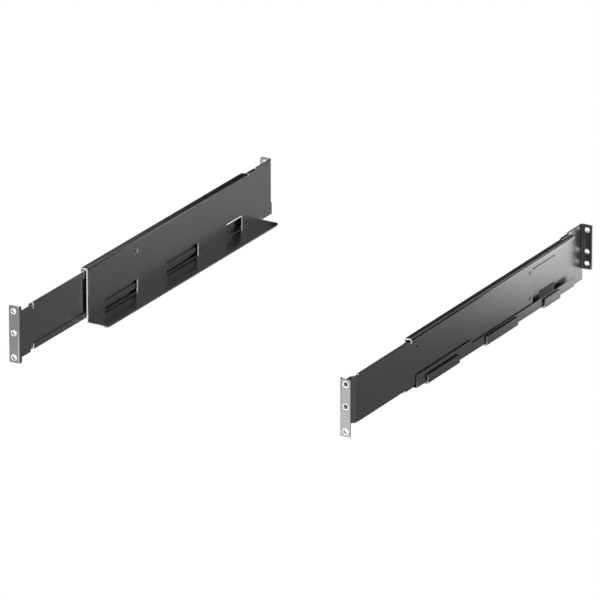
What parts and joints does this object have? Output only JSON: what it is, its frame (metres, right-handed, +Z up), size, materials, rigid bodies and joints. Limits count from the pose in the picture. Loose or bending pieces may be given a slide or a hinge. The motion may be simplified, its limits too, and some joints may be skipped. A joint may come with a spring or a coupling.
{
  "type": "pair of rack mounting rails",
  "caption": "Pair of telescoping rack rails: folded steel channel and shelf at the rear, sliding front half with a drilled ear, so the length fits the depth of the rack.",
  "frame": {"origin": "middle of the pair's bounding box, at the underside of the shelves, with the slides drawn out as in the picture", "axes": "+X across the rack to the right rail, +Y from the front posts to the rear posts, +Z up"},
  "size_m": [0.4784, 0.5972, 0.0741],
  "materials": {
    "painted_steel": "black satin",
    "glide_plastic": "dark matte",
    "dark_pin": "blackened steel",
    "plated_nut": "zinc plated"
  },
  "bodies": {
    "rails": {"left_support_rail": "painted_steel", "left_upper_guide": "painted_steel", "left_lower_guide": "painted_steel", "left_wear_strip": "painted_steel", "left_stop_pin": "dark_pin", "left_rear_nuts": "plated_nut", "right_support_rail": "painted_steel", "right_upper_guide": "painted_steel", "right_lower_guide": "painted_steel", "right_wear_strip": "painted_steel", "right_stop_pin": "dark_pin", "right_rear_nuts": "plated_nut"},
    "left_slide": {"left_front_slide": "painted_steel", "left_upper_shoe": "glide_plastic", "left_lower_shoe": "glide_plastic", "left_shoe_rivets": "dark_pin", "left_front_nuts": "plated_nut"},
    "right_slide": {"right_front_slide": "painted_steel", "right_upper_shoe": "glide_plastic", "right_lower_shoe": "glide_plastic", "right_shoe_rivets": "dark_pin", "right_front_nuts": "plated_nut"}
  },
  "joints": [
    {"name": "left_draw", "type": "slide", "parent": "rails", "child": "left_slide", "axis": [0, -1, 0], "range_m": [-0.125, 0.1655]},
    {"name": "right_draw", "type": "slide", "parent": "rails", "child": "right_slide", "axis": [0, -1, 0], "range_m": [-0.125, 0.1655]}
  ]
}
